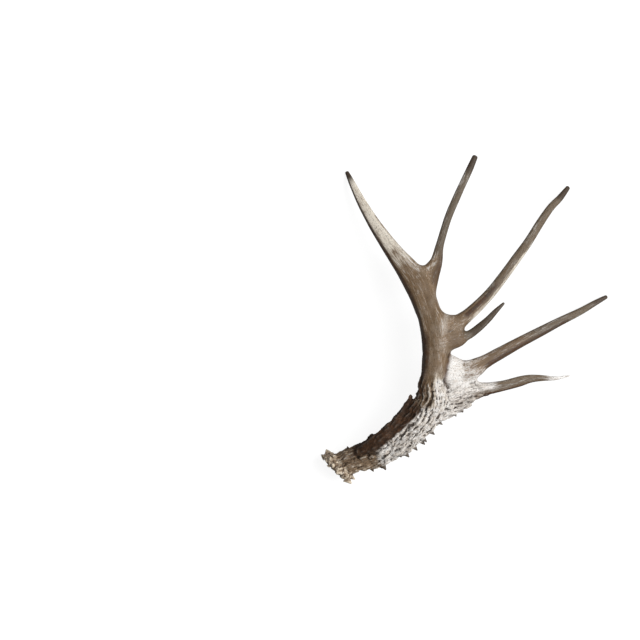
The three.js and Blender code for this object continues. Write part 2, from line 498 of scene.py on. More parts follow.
def result(made):
    """The first output of a node that its settings leave in use."""
    return next(socket for socket in made.outputs if socket.enabled)


def maths(tree, operation, *values):
    inputs = dict(enumerate(values))
    return result(put(tree, "ShaderNodeMath", inputs, operation=operation))


def product(tree, first, *factors):
    for factor in factors:
        first = maths(tree, "MULTIPLY", first, factor)
    return first


def vector_maths(tree, operation, *values):
    inputs = dict(enumerate(values))
    return result(put(tree, "ShaderNodeVectorMath", inputs, operation=operation))


def scaled(tree, vector, factor):
    node = put(tree, "ShaderNodeVectorMath", {0: vector, "Scale": factor}, operation="SCALE")
    return node.outputs["Vector"]


def combined(tree, x=0.0, y=0.0, z=0.0):
    return result(put(tree, "ShaderNodeCombineXYZ", {"X": x, "Y": y, "Z": z}))


def blend_numbers(tree, factor, a, b):
    return result(put(tree, "ShaderNodeMix", {0: factor, 2: a, 3: b}, data_type="FLOAT"))


def blend_colours(tree, factor, a, b):
    return put(tree, "ShaderNodeMix", {0: factor, 6: a, 7: b}, data_type="RGBA").outputs[2]


def ramped(tree, value, low, high, start=0.0, end=1.0):
    """Value from low to high, smoothly turned into start to end."""
    inputs = {"Value": value, "From Min": low, "From Max": high, "To Min": start, "To Max": end}
    return result(put(tree, "ShaderNodeMapRange", inputs, interpolation_type="SMOOTHSTEP"))


def noise(tree, vector, scale, detail=2.0, roughness=0.5):
    inputs = {"Vector": vector, "Scale": scale, "Detail": detail, "Roughness": roughness}
    return put(tree, "ShaderNodeTexNoise", inputs).outputs[0]


def new_tree(kind, name, inputs, outputs):
    """An empty node tree with named sockets: (name, short kind, value) each."""
    tree = bpy.data.node_groups.new(name, kind)
    for direction, sockets in (("INPUT", inputs), ("OUTPUT", outputs)):
        for label, short, value in sockets:
            face = tree.interface
            made = face.new_socket(label, in_out=direction, socket_type=SOCKETS[short])
            if value is not None:
                made.default_value = value
    given = tree.nodes.new("NodeGroupInput")
    made = tree.nodes.new("NodeGroupOutput")
    return tree, given.outputs, made.inputs


def new_geometry_tree(name, inputs):
    """An empty Geometry Nodes tree that takes a geometry, the inputs given and a material."""
    geometry, material = ("Geometry", "geometry", None), ("Material", "material", None)
    return new_tree("GeometryNodeTree", name, [geometry, *inputs, material], [geometry])


def finish_tree(tree, geometry, material, output):
    """Makes instances real, gives them their material, and ends the tree."""
    real = put(tree, "GeometryNodeRealizeInstances", {"Geometry": geometry})
    inputs = {"Geometry": result(real), "Material": material}
    tree.links.new(result(put(tree, "GeometryNodeSetMaterial", inputs)), output)


def named(tree, name, kind="FLOAT"):
    """What a geometry keeps under a name."""
    inputs = {"Name": name}
    return result(put(tree, "GeometryNodeInputNamedAttribute", inputs, data_type=kind))


def position(tree):
    return result(put(tree, "GeometryNodeInputPosition"))


def random_number(tree, low, high, seed):
    inputs = {2: low, 3: high, "Seed": seed}
    return result(put(tree, "FunctionNodeRandomValue", inputs, data_type="FLOAT"))


def moved(tree, geometry, offset):
    inputs = {"Geometry": geometry, "Offset": offset}
    return result(put(tree, "GeometryNodeSetPosition", inputs))


def turned_to(tree, vector, axis, rotation=(0, 0, 0), pivot="AUTO"):
    """A rotation that points one of its axes along a vector."""
    inputs = {"Rotation": rotation, "Vector": vector}
    settings = {"axis": axis, "pivot_axis": pivot}
    return result(put(tree, "FunctionNodeAlignRotationToVector", inputs, **settings))


def instanced(tree, points, instance, rotation, scale):
    inputs = {"Points": points, "Instance": instance, "Rotation": rotation, "Scale": scale}
    return result(put(tree, "GeometryNodeInstanceOnPoints", inputs))


# ---------------------------------------------------------------- what has grown where

# Every branch but the beam takes its grain in one of two sets, so that where two branches
# meet, two grains can run into each other.
GRAIN_SETS = {
    "grain_tine": ("brow_tine", "second_tine", "third_tine", "fourth_tine"),
    "grain_fork": ("second_tine_fork", "third_tine_spur"),
}
GRAINS = ("grain_beam", *GRAIN_SETS)
GRAIN_BLEND = 2.5 * MM  # over which the grain of one branch gives way to the next's
GRAIN_APART = 1000.0  # keeps the pattern of one branch from showing again on the next

# Marks on the bone, of each kind: on which branch, from and to which station, from and to
# which side (-1 is its left edge and 1 its right), and how strong.
MARKS = {
    "rough": [
        ("beam", -1, 1.9, -1, 1, 0.9),
        ("beam", 3.0, 9.6, -1, 1, 1.0),
        ("beam", 9.6, 12, -1, 1, 0.2),
        ("brow_tine", 0, 6, -1, 1, 0.7),
        ("second_tine_fork", -1, 3.2, -1, 0.5, 0.35),
        ("second_tine_fork", -1, 3.2, 0.7, 1, 0.5),
        ("second_tine", 1.4, 3.0, -1, 1, 0.3),
    ],
    "ridged": [
        ("beam", 6.6, 8.4, -1, 1, 1.0),
        ("beam", 8.4, 10, -1, 0.5, 0.9),
        ("beam", 3.0, 6.6, -1, 1, 0.7),
        ("beam", -1, 2.6, -1, 1, 0.08),
        ("brow_tine", 0, 6, -1, 1, 0.4),
        ("second_tine_fork", 0, 3.4, 0.75, 1, 0.35),
        ("second_tine_fork", -1, 3.4, -1, 0.6, 0.15),
        ("second_tine", 1.8, 3.2, -1, 1, 0.22),
    ],
    "pearling": [
        ("beam", 3.4, 8.6, 0.1, 1, 0.7),
        ("beam", 0.8, 2.6, -1, 1, 0.4),
        ("beam", 2.0, 8.6, -1, 0.1, 0.12),
        ("second_tine_fork", -1, 3.0, 0.6, 1, 0.8),
        ("second_tine_fork", 1.8, 3.2, -1, 0.4, 0.25),
    ],
    "grey": [
        ("fourth_tine", 4.0, 11, -1, 1, 1.0),
        ("third_tine", 5.5, 14, -1, 1, 0.7),
        ("second_tine", 7.0, 12, -1, 1, 0.8),
        ("second_tine_fork", 3.2, 8.6, -1, 0.4, 0.6),
        ("third_tine_spur", 2.6, 8, -1, 1, 0.9),
    ],
    # partly creamy bone, partly a painted highlight on the sides that face the light, as along
    # the third tine's right side
    "cream_and_highlight": [
        ("beam", 17.8, 19.2, -0.5, 1, 0.5),
        ("beam", 19.2, 20.6, -0.5, 0.4, 1.0),
        ("beam", 20.8, 22.4, -0.5, 0.9, 1.0),
        ("third_tine", 3.6, 8.2, 0.7, 1, 0.75),
        ("beam", 8.6, 10.2, 0.2, 0.9, 0.45),
    ],
    "tan": [
        ("beam", -1, 3.0, -1, 1, 0.75),
    ],
    "chalk": [
        ("second_tine", 1.4, 2.8, -1, 1, 0.42),
        ("second_tine", 1.4, 3.0, 0.8, 1, 0.4),
        ("second_tine_fork", 2.0, 3.6, -1, 0.0, 0.9),
        ("second_tine_fork", 1.6, 2.4, 0.0, 1, 0.45),
        ("second_tine_fork", 8.8, 11, -1, 1, 0.7),
    ],
    "brown": [
        ("second_tine", 4.5, 8.0, -1, 1, 0.6),
        ("second_tine_fork", 3.0, 8.6, 0.0, 1, 0.8),
        ("beam", 0.8, 4.5, -1, 0.2, 0.45),
        ("fourth_tine", 2.0, 5.0, 0, 1, 0.5),
        ("fourth_tine", 4.6, 9.8, -1, 1, 0.7),
        ("third_tine_spur", 1.0, 3.0, -1, 1, 0.6),
    ],
    "drab": [
        ("second_tine_fork", 0.8, 3.4, -1, 1, 0.34),
        ("second_tine_fork", 1.4, 4.0, 0.2, 1, 0.2),
        ("beam", 3.5, 6.4, 0, 1, 0.2),
    ],
    "bleach": [
        ("beam", 4.7, 8.0, -0.25, 1, 1.0),
        ("beam", 8.0, 9.8, 0.5, 1, 1.0),
        ("second_tine_fork", -1, 1.7, -1, 1, 1.0),
        ("second_tine_fork", 9.9, 11, -1, 1, 0.9),
        ("second_tine", -1, 1.6, -1, 1, 1.0),
    ],
    # partly real stains, partly painted shade: the beam's rows on its left side darken the flank
    # that faces away from the light
    "stain_and_shade": [
        ("beam", 3.2, 8.0, -1, -0.45, 1.0),
        ("beam", 1.4, 4.2, -1, 0.2, 0.32),
        ("beam", 9.5, 12.5, -0.8, -0.55, 0.65),
        ("brow_tine", 0.5, 7, -1, 1, 1.0),
        ("second_tine", 4.2, 8.0, 0.4, 1, 0.6),
        ("second_tine_fork", 3.2, 7.4, 0.9, 1, 0.8),
        ("third_tine", 3.4, 6.0, -0.3, 0.1, 0.7),
        ("fourth_tine", 1.4, 3.2, 0.4, 1, 0.55),
    ],
    # partly stains, partly painted shade: darker along the beam's left flank, which faces away
    # from the light
    "edge": [
        ("beam", 9.5, 23, -1, -0.88, 1.0),
        ("beam", 18.6, 23, -1, -0.74, 0.8),
    ],
    "tip": [
        ("beam", 22.8, 24, -1, 1, 1.0),
        ("second_tine", 10.2, 12, -1, 1, 0.7),
        ("third_tine", 12.4, 14, -1, 1, 1.0),
        ("third_tine_spur", 3.4, 8, -1, 1, 0.6),
        ("fourth_tine", 9.3, 11, -1, 1, 1.0),
    ],
}
MARK_FADE = 1.1  # of a station, at both ends of a mark
SIDE_FADE = 0.4  # at both sides of a mark
BURR_BAND = (-30, 7, 9)  # along the burr's axis, in millimetres: from, to and fading over


def spread(value, low, high, fade):
    """1 between low and high, fading to 0 outside them."""
    t = np.clip(np.minimum(value - low, high - value) / fade + 1, 0, 1)
    return t * t * (3 - 2 * t)


def write_marks(mesh, spots):
    """Keeps how strongly every spot of the bone is marked in each way."""
    for kind, places in MARKS.items():
        mark = 0.0
        for name, first, last, left, right, strength in places:
            spot = spots[name]
            place = spread(spot["station"], first, last, MARK_FADE)
            place = place * spread(spot["side"], left, right, SIDE_FADE)
            mark = mark + strength * spot["share"] * place
        write(mesh, kind, np.clip(mark, 0, 1))


def survey(mesh):
    """Where every vertex is on every branch, and how much it belongs to each."""
    points = points_of(mesh)
    spots = {name: branch.measure(points) for name, branch in branches.items()}
    for spot in spots.values():
        spot["share"] = np.exp(-np.maximum(spot["gap"], 0) / GRAIN_BLEND)
    whole = sum(spot["share"] for spot in spots.values())
    for spot in spots.values():
        spot["share"] /= whole
        reach = np.hypot(spot["right"], spot["top"]) + 1e-6
        spot["side"] = spot["right"] / reach
    return spots


def write_grain(mesh, spots):
    """Keeps how the grain runs: across, through and along the branch, in millimetres."""

    def grain(name):
        spot = spots[name]
        apart = GRAIN_APART * list(branches).index(name)
        return np.column_stack([spot["right"], spot["top"], spot["run"]]) / MM + apart

    write(mesh, "grain_beam", grain("beam"))
    for label, names in GRAIN_SETS.items():
        shares = np.array([spots[name]["share"] for name in names])
        grains = np.array([grain(name) for name in names])
        strongest = shares.argmax(axis=0)
        write(mesh, label, grains[strongest, np.arange(len(strongest))])
        write(mesh, label + "_share", shares.sum(axis=0))


def write_burr(mesh):
    """Keeps how near every spot is to the burr."""
    offset = points_of(mesh) - BURR_CENTRE
    height = offset @ BURR_AXIS
    write(mesh, "burr", spread(height / MM, *BURR_BAND))


def write_lie(mesh, spots):
    """Keeps the direction in which the beam or the web runs at every spot."""
    points = points_of(mesh)
    beam, web = branches["beam"], branches["second_tine_fork"]
    share = spots["beam"]["share"][:, None]
    lie = share * beam.along[beam.nearest_to(points)]
    write(mesh, "lie", lie + (1 - share) * web.along[web.nearest_to(points)])


# ---------------------------------------------------------------- pearls, spikes and knobs

# Spikes along the beam: station, degrees round from its right side to its top, and height
# and radius in millimetres.
BEAM_SPIKES = [
    (1.75, 172, 5, 4.5),
    (2.5, 160, 3.5, 5),
    (3.0, -12, 8, 5),
    (3.75, 2, 6, 6.5),
    (4.05, 2, 10, 6),
    (5.55, -8, 9.5, 6),
    (5.4, 30, 6, 5),
    (6.4, 4, 8, 5),
    (6.9, -6, 8.5, 5),
    (7.15, 8, 7.5, 4.6),
    (7.65, -5, 8.5, 5),
    (8.2, 4, 9, 4.4),
    (8.55, -6, 6.5, 3.6),
    (4.7, -60, 7, 5),
    (6.1, -75, 7, 5),
    (7.4, -50, 7, 5),
    (5.2, -110, 6, 5),
]

# Spikes along the lower edge of the web, in the same numbers.
WEB_SPIKES = [
    (0.75, -4, 4, 3.2),
    (1.15, 6, 4, 3),
    (1.6, -2, 3.5, 2.8),
    (2.1, 4, 2, 2.4),
]

# Spikes round the burr: degrees from the beam's right side to its top, how far up the beam in
# millimetres, how much they lean that way, and height and radius in millimetres.
BURR_SPIKES = [
    (180, -2.5, -0.15, 6.5, 5.5),
    (178, 3.5, 0.4, 7.5, 6.5),
    (176, 6, 0.5, 4, 5),
    (4, -2.5, -0.1, 9, 6.5),
    (-6, 3, 0.15, 9, 5.5),
    (40, 1, 0.2, 5, 6),
    (85, 0, 0.3, 5, 6),
    (130, 2, 0.4, 6, 6),
    (-50, 1, 0.3, 5, 6),
    (-120, 2, 0.3, 5, 6),
    (-150, 0, 0.1, 6, 5.5),
]

SPIKE_ROOT = 2 * MM  # how deep a spike starts below the skin
SPIKE_SHARPNESS = 0.85
SPIKE_BEND = 0.15  # how far its point is bent aside, in parts of its radius
SPIKE_EDGE = 1.2 * MM  # over which what marks a spike fades out beside it

# The rings of knobs round the burr's lip and behind it, round the seat.
KNOB_RINGS = [
    {"Radius": 22 * MM, "Knobs": 15, "Smallest": 3 * MM, "Largest": 5.2 * MM, "Seed": 4},
    {
        "Radius": 17 * MM,
        "Knobs": 17,
        "Smallest": 1.6 * MM,
        "Largest": 3.2 * MM,
        "Raised": -4 * MM,
        "Seed": 9,
    },
]
KNOB_STRETCH = (0.9, 1.25)  # how far a knob stands out, in parts of its breadth: from and to
RINGS_TURN = (0, math.pi / 2 - BURR_PITCH, BURR_FACING)  # square to the burr's axis

# Two sizes of pearls.
PEARL_LAYERS = [
    {"Spacing": 12 * MM, "Smallest": 2.4 * MM, "Largest": 4.2 * MM, "Drawn Out": 2.0, "Seed": 7},
    {"Spacing": 9 * MM, "Smallest": 1.2 * MM, "Largest": 2 * MM, "Drawn Out": 1.8, "Seed": 23},
]
PEARL_DENSITY = 1e5  # at most, to a square metre, before their spacing thins them out
PEARL_HEIGHT = 0.75  # in parts of its breadth


def pearls_tree():
    """Low pearls of bone scattered over a surface, drawn out along the grain."""
    tree, given, made = new_geometry_tree(
        "pearls",
        [
            ("Spacing", "number", 0.005),
            ("Smallest", "number", 0.001),
            ("Largest", "number", 0.002),
            ("Drawn Out", "number", 1.6),
            ("Seed", "count", 0),
        ],
    )
    scattered = put(
        tree,
        "GeometryNodeDistributePointsOnFaces",
        {
            "Mesh": given["Geometry"],
            "Distance Min": given["Spacing"],
            "Density Max": PEARL_DENSITY,
            "Density Factor": named(tree, "pearling"),
            "Seed": given["Seed"],
        },
        distribute_method="POISSON",
    )
    upright = turned_to(tree, scattered.outputs["Normal"], "Z")
    turned = turned_to(tree, named(tree, "lie", "FLOAT_VECTOR"), "X", upright, "Z")
    size = random_number(tree, given["Smallest"], given["Largest"], given["Seed"])
    long = maths(tree, "MULTIPLY", size, given["Drawn Out"])
    scale = combined(tree, long, size, maths(tree, "MULTIPLY", size, PEARL_HEIGHT))
    ball = {"Segments": 8, "Rings": 6, "Radius": 1.0}
    pearl = put(tree, "GeometryNodeMeshUVSphere", ball).outputs["Mesh"]
    placed = instanced(tree, scattered.outputs["Points"], pearl, turned, scale)
    finish_tree(tree, placed, given["Material"], made["Geometry"])
    return tree


def studs_tree():
    """A pointed stud on every point, along its facing and to its size."""
    tree, given, made = new_geometry_tree(
        "studs", [("Sharpness", "number", 0.9), ("Bend", "number", 0.0)]
    )
    cone = put(
        tree,
        "GeometryNodeMeshCone",
        {
            "Vertices": 10,
            "Side Segments": 5,
            "Radius Top": maths(tree, "SUBTRACT", 1.0, given["Sharpness"]),
            "Radius Bottom": 1.0,
            "Depth": 1.0,
        },
        fill_type="TRIANGLE_FAN",
    )
    height = put(tree, "ShaderNodeSeparateXYZ", {"Vector": position(tree)}).outputs["Z"]
    lean = combined(tree, x=product(tree, height, height, given["Bend"]))
    bent = moved(tree, cone.outputs["Mesh"], lean)
    turned = turned_to(tree, named(tree, "facing", "FLOAT_VECTOR"), "Z")
    size = named(tree, "size", "FLOAT_VECTOR")
    placed = instanced(tree, given["Geometry"], bent, turned, size)
    finish_tree(tree, placed, given["Material"], made["Geometry"])
    return tree


def coronet_tree():
    """A ring of uneven knobs."""
    tree, given, made = new_geometry_tree(
        "coronet",
        [
            ("Radius", "number", 0.02),
            ("Knobs", "count", 15),
            ("Smallest", "number", 0.003),
            ("Largest", "number", 0.005),
            ("Raised", "number", 0.0),
            ("Centre", "vector", (0, 0, 0)),
            ("Turn", "vector", (0, 0, 0)),
            ("Seed", "count", 0),
        ],
    )
    circle = {"Resolution": given["Knobs"], "Radius": given["Radius"]}
    ring = put(tree, "GeometryNodeCurvePrimitiveCircle", circle).outputs["Curve"]
    raised = moved(tree, ring, combined(tree, z=given["Raised"]))
    outward = turned_to(tree, position(tree), "X")
    size = random_number(tree, given["Smallest"], given["Largest"], given["Seed"])
    stretch = random_number(tree, *KNOB_STRETCH, given["Seed"])
    scale = combined(tree, maths(tree, "MULTIPLY", size, stretch), size, size)
    ball = {"Radius": 1.0, "Subdivisions": 2}
    knob = put(tree, "GeometryNodeMeshIcoSphere", ball).outputs["Mesh"]
    placed = instanced(tree, raised, knob, outward, scale)
    seat = {"Geometry": placed, "Translation": given["Centre"], "Rotation": given["Turn"]}
    seated = result(put(tree, "GeometryNodeTransform", seat))
    finish_tree(tree, seated, given["Material"], made["Geometry"])
    return tree


def point_cloud(name, places, facings, sizes):
    """Loose points with a facing and a size each, for studs to stand on."""
    mesh = bpy.data.meshes.new(name)
    mesh.from_pydata([tuple(place) for place in places], [], [])
    write(mesh, "facing", np.array(facings))
    write(mesh, "size", np.array(sizes))
    return new_object(name, mesh)


def spike(place, facing, height, radius):
    """A spike as its place, facing and size. Its height and radius are in millimetres."""
    return place, facing, (radius * MM, radius * MM, height * MM + SPIKE_ROOT)


def edge_spikes(branch, table):
    """The spikes along a branch."""
    spikes = []
    for station, degrees, height, radius in table:
        i = np.argmin(np.abs(branch.station - station))
        angle = math.radians(degrees)
        outward = (
            branch.across[i] * branch.half[i, 0] * math.cos(angle)
            + branch.rise[i] * branch.half[i, 1] * math.sin(angle)
        )
        place = branch.centre[i] + outward - unit(outward) * SPIKE_ROOT
        spikes.append(spike(place, unit(outward), height, radius))
    return spikes


def burr_spikes():
    """The spikes round the burr."""
    across = unit(np.cross(BURR_AXIS, UP))
    rise = np.cross(across, BURR_AXIS)
    spikes = []
    for degrees, raised, lean, height, radius in BURR_SPIKES:
        angle = math.radians(degrees)
        outward = across * math.cos(angle) + rise * math.sin(angle)
        place = BURR_CENTRE + outward * BURR_RING + BURR_AXIS * raised * MM
        spikes.append(spike(place, outward + BURR_AXIS * lean, height, radius))
    return spikes


def all_spikes():
    """The spikes along the beam and the web and round the burr."""
    return [
        *edge_spikes(branches["beam"], BEAM_SPIKES),
        *edge_spikes(branches["second_tine_fork"], WEB_SPIKES),
        *burr_spikes(),
    ]


def write_spikes(mesh):
    """Keeps how far up a spike every spot is."""
    points = points_of(mesh)
    mark = np.zeros(len(points))
    for place, facing, (radius, _, height) in all_spikes():
        offset = points - place
        up = offset @ unit(facing)
        aside = np.sqrt(np.maximum(dot(offset, offset) - up**2, 0))
        girth = radius * (1 - SPIKE_SHARPNESS * np.clip(up / height, 0, 1))
        rising = np.clip((up - SPIKE_ROOT / 2) / height, 0, 1)
        mark = np.maximum(mark, rising * spread(aside, -radius, girth, SPIKE_EDGE))
    write(mesh, "spike", mark)


def studded(skin, bone):
    """The skin with its spikes, burr knobs and pearls stuck through it."""
    places, facings, sizes = zip(*all_spikes())
    spikes = point_cloud("spikes", places, facings, sizes)
    grown(spikes, studs_tree(), Sharpness=SPIKE_SHARPNESS, Bend=SPIKE_BEND, Material=bone)
    stuck = [spikes]
    coronet = coronet_tree()
    seat = {"Centre": tuple(BURR_CENTRE), "Turn": RINGS_TURN}
    for ring in KNOB_RINGS:
        knobs = new_object("knobs", bpy.data.meshes.new("knobs"))
        stuck.append(grown(knobs, coronet, **ring, **seat, Material=bone))
    spots = survey(skin.data)
    write_marks(skin.data, spots)
    write_lie(skin.data, spots)
    scatter = pearls_tree()
    for layer in PEARL_LAYERS:
        pearls = new_object("pearls", skin.data.copy())
        stuck.append(grown(pearls, scatter, **layer, Material=bone))
    return joined(skin, *stuck)


# ---------------------------------------------------------------- relief

VOXEL = 0.8 * MM
SOFTENING = 0.5  # of the steps that the voxels leave, in each round
SOFTENING_ROUNDS = 3
MOST_TRIANGLES = 195_000

# How deep each kind of relief goes.
RELIEF = {
    "Fluting": 0.9 * MM,
    "Grooving": 2.0 * MM,
    "Lumps": 2.1 * MM,
    "Chips": 1.5 * MM,
    "Grit": 0.35 * MM,
    "Pits": 2.4 * MM,
}

# How many cells of a pattern go into a millimetre, across, through and along the grain.
WANDER_CELLS = (0.035, 0.035, 0.02)
FLUTE_CELLS = (0.11, 0.11, 0.008)
PLATE_CELLS = (0.125, 0.125, 0.034)
CHIP_CELLS = (0.3, 0.3, 0.075)

# The same for the patterns that don't follow the grain.
LUMP_CELLS = 0.09
GRIT_CELLS = 0.5
PIT_CELLS = 0.15

WANDER = 16.0  # how far the grain is bent aside, in millimetres
CRACK_WIDTH = 0.42  # of a plate's cell, from the middle of a crack to the flat of the plate
NOISE_GAIN = 3.0  # brings noise, which keeps near 0.5, to about -1 to 1


def uneven(tree, vector, cells, height, where):
    """Noise about zero, to a height and only in some places."""
    around = maths(tree, "SUBTRACT", noise(tree, vector, cells), 0.5)
    return product(tree, around, NOISE_GAIN, height, where)


def grain_relief(tree, given, grain, rough, ridged):
    """Shallow flutes all over, deeper on the ridged bone, with cracked plates and chips."""
    bends = vector_maths(tree, "MULTIPLY", grain, WANDER_CELLS)
    bends = put(tree, "ShaderNodeTexNoise", {"Vector": bends, "Scale": 1.0}).outputs["Color"]
    bends = vector_maths(tree, "SUBTRACT", bends, (0.5, 0.5, 0.5))
    bent = vector_maths(tree, "ADD", grain, scaled(tree, bends, WANDER))
    flutes, plates, chips = (
        vector_maths(tree, "MULTIPLY", bent, cells)
        for cells in (FLUTE_CELLS, PLATE_CELLS, CHIP_CELLS)
    )
    fluted = maths(tree, "MULTIPLY_ADD", ridged, 0.6, 0.4)
    flutes = uneven(tree, flutes, 1.0, given["Fluting"], fluted)
    plates = put(
        tree,
        "ShaderNodeTexVoronoi",
        {"Vector": plates, "Scale": 1.0},
        feature="DISTANCE_TO_EDGE",
    ).outputs["Distance"]
    plates = ramped(tree, plates, 0.0, CRACK_WIDTH, -1.0, 0.35)
    plates = product(tree, plates, given["Grooving"], ridged)
    chips = uneven(tree, chips, 1.0, given["Chips"], rough)
    return maths(tree, "ADD", maths(tree, "ADD", flutes, plates), chips)


def relief_tree():
    """The relief along the grain, with lumps, grit and pits, fading out on the spikes."""
    tree, given, made = new_geometry_tree(
        "bone_relief", [(name, "number", depth) for name, depth in RELIEF.items()]
    )
    rough, ridged, burr = (named(tree, mark) for mark in ("rough", "ridged", "burr"))
    heights = {}
    for label in GRAINS:
        grain = named(tree, label, "FLOAT_VECTOR")
        heights[label] = grain_relief(tree, given, grain, rough, ridged)
    height = heights["grain_beam"]
    for label in GRAIN_SETS:
        difference = maths(tree, "SUBTRACT", heights[label], heights["grain_beam"])
        share = named(tree, label + "_share")
        height = maths(tree, "ADD", height, maths(tree, "MULTIPLY", difference, share))
    place = scaled(tree, position(tree), 1 / MM)
    swellings = (
        (LUMP_CELLS, given["Lumps"], rough),
        (GRIT_CELLS, given["Grit"], rough),
        (PIT_CELLS, given["Pits"], burr),
    )
    for cells, depth, where in swellings:
        height = maths(tree, "ADD", height, uneven(tree, place, cells, depth, where))
    calm = ramped(tree, named(tree, "spike"), 0.0, 0.25, 1.0, 0.0)
    height = maths(tree, "MULTIPLY", height, calm)
    offset = scaled(tree, result(put(tree, "GeometryNodeInputNormal")), height)
    raised = moved(tree, given["Geometry"], offset)
    finish_tree(tree, raised, given["Material"], made["Geometry"])
    return tree


def fused(thing):
    """One closed skin over everything that sticks through the bone."""
    modifier = thing.modifiers.new("one_skin", "REMESH")
    modifier.mode = "VOXEL"
    modifier.voxel_size = VOXEL
    modifier.use_smooth_shade = True
    softer = thing.modifiers.new("softer", "SMOOTH")
    softer.factor = SOFTENING
    softer.iterations = SOFTENING_ROUNDS
    return settled(thing)


def thinned(thing):
    """The same skin with fewer triangles where it is smooth."""
    faces = thing.data.polygons
    triangles = sum(face.loop_total - 2 for face in faces)
    modifier = thing.modifiers.new("fewer_triangles", "DECIMATE")
    modifier.ratio = min(1.0, MOST_TRIANGLES / triangles)
    return settled(thing)


def set_down(mesh):
    """Presses flat what would reach below the surface that the antler lies on."""
    points = points_of(mesh)
    points[:, 2] = np.maximum(points[:, 2], cad_low.z)
    mesh.vertices.foreach_set("co", points.astype(np.float32).ravel())
    mesh.update()


# ---------------------------------------------------------------- hollows, seams and painted crease shade

FINE_ROUNDS = 4  # of smoothing, for the bone close round a spot
WIDE_ROUNDS = 14  # more, for the bone farther round it

# Where the painted crease shade and the pale seam run along the beam: from and to which station,
# and fading over.
CREASE_SHADE_SPAN = (10, 12.4, 1.0)
PALE_SEAM = (12.8, 14.6, 0.5)


def smoothed(mesh, points, rounds):
    """The points, each moved to the middle of its neighbours, a number of times."""
    edges = np.empty(len(mesh.edges) * 2, np.int32)
    mesh.edges.foreach_get("vertices", edges)
    first, second = edges.reshape(-1, 2).T
    count = len(points)
    neighbours = np.bincount(first, minlength=count) + np.bincount(second, minlength=count)
    for _ in range(rounds):
        sums = np.column_stack(
            [
                np.bincount(first, points[second, i], count)
                + np.bincount(second, points[first, i], count)
                for i in range(3)
            ]
        )
        points = sums / neighbours[:, None]
    return points


def write_hollows(mesh):
    """Keeps how far every spot lies below the bone around it, in millimetres."""
    points, normals = points_of(mesh), vectors_of(mesh.vertex_normals, "vector")
    near = smoothed(mesh, points, FINE_ROUNDS)
    wide = smoothed(mesh, near, WIDE_ROUNDS)
    write(mesh, "hollow_fine", dot(near - points, normals) / MM)
    write(mesh, "hollow_wide", dot(wide - points, normals) / MM)


def write_seams(mesh, spots):
    """Keeps a painted shade in the crease where the web leaves the beam, and the pale seam where
    the third tine leaves it.

    Where two branches share a spot evenly, their shares multiply to a quarter.
    """
    beam = spots["beam"]
    web_share = spots["second_tine_fork"]["share"] + spots["second_tine"]["share"]
    third_share = spots["third_tine"]["share"]
    # painted shade in the crease between the beam and the web
    dark = (4 * beam["share"] * web_share) ** 1.5 * spread(beam["station"], *CREASE_SHADE_SPAN)
    pale = 4 * beam["share"] * third_share * spread(beam["station"], *PALE_SEAM)
    write(mesh, "crease_shade", np.clip(dark, 0, 1))
    write(mesh, "seam_pale", np.clip(pale, 0, 1) ** 2)


def write_growth(mesh):
    """Keeps all that the relief and the colours follow, but for the hollows."""
    spots = survey(mesh)
    write_grain(mesh, spots)
    write_marks(mesh, spots)
    write_burr(mesh)
    write_seams(mesh, spots)
    write_spikes(mesh)


# ---------------------------------------------------------------- material


def tint(code):
    """A colour as #rrggbb, in the linear numbers that shaders take."""
    parts = [int(code[i : i + 2], 16) / 255 for i in (1, 3, 5)]
    linear = [p / 12.92 if p <= 0.04045 else ((p + 0.055) / 1.055) ** 2.4 for p in parts]
    return (*linear, 1.0)


def painted(tree, name):
    """What a mesh keeps under a name, as a number and as a vector."""
    made = put(tree, "ShaderNodeAttribute", attribute_name=name)
    return made.outputs["Fac"], made.outputs["Vector"]


def along_grain_group():
    """Noise drawn out along the grain of every branch, from 0 to 1."""
    tree, given, made = new_tree(
        "ShaderNodeTree",
        "along_grain",
        [
            ("Width", "number", 5.0),
            ("Length", "number", 50.0),
            ("Detail", "number", 2.0),
            ("Offset", "number", 0.0),
        ],
        [("Factor", "number", None)],
    )
    wide, long = (maths(tree, "DIVIDE", 1.0, given[name]) for name in ("Width", "Length"))
    stretch = combined(tree, wide, wide, long)
    mixed = None
    for label in GRAINS:
        grain = painted(tree, label)[1]
        place = vector_maths(tree, "MULTIPLY", grain, stretch)
        place = vector_maths(tree, "ADD", place, given["Offset"])
        streaks = noise(tree, place, 1.0, given["Detail"])
        if mixed is None:
            mixed = streaks
        else:
            mixed = blend_numbers(tree, painted(tree, label + "_share")[0], mixed, streaks)
    tree.links.new(mixed, made["Factor"])
    return tree


def ragged_group():
    """A soft mask given a ragged edge by a noise."""
    tree, given, made = new_tree(
        "ShaderNodeTree",
        "ragged_edge",
        [
            ("Mask", "number", 0.0),
            ("Noise", "number", 0.5),
            ("Raggedness", "number", 0.6),
            ("Softness", "number", 0.2),
        ],
        [("Mask", "number", None)],
    )
    push = maths(tree, "SUBTRACT", given["Noise"], 0.5)
    push = maths(tree, "MULTIPLY", push, given["Raggedness"])
    pushed = maths(tree, "ADD", given["Mask"], push)
    low = maths(tree, "SUBTRACT", 0.5, given["Softness"])
    high = maths(tree, "ADD", 0.5, given["Softness"])
    tree.links.new(ramped(tree, pushed, low, high), made["Mask"])
    return tree


def group(tree, kind, **values):
    """Places a node group with its own values, and returns its first output."""
    return put(tree, "ShaderNodeGroup", values, node_tree=kind).outputs[0]


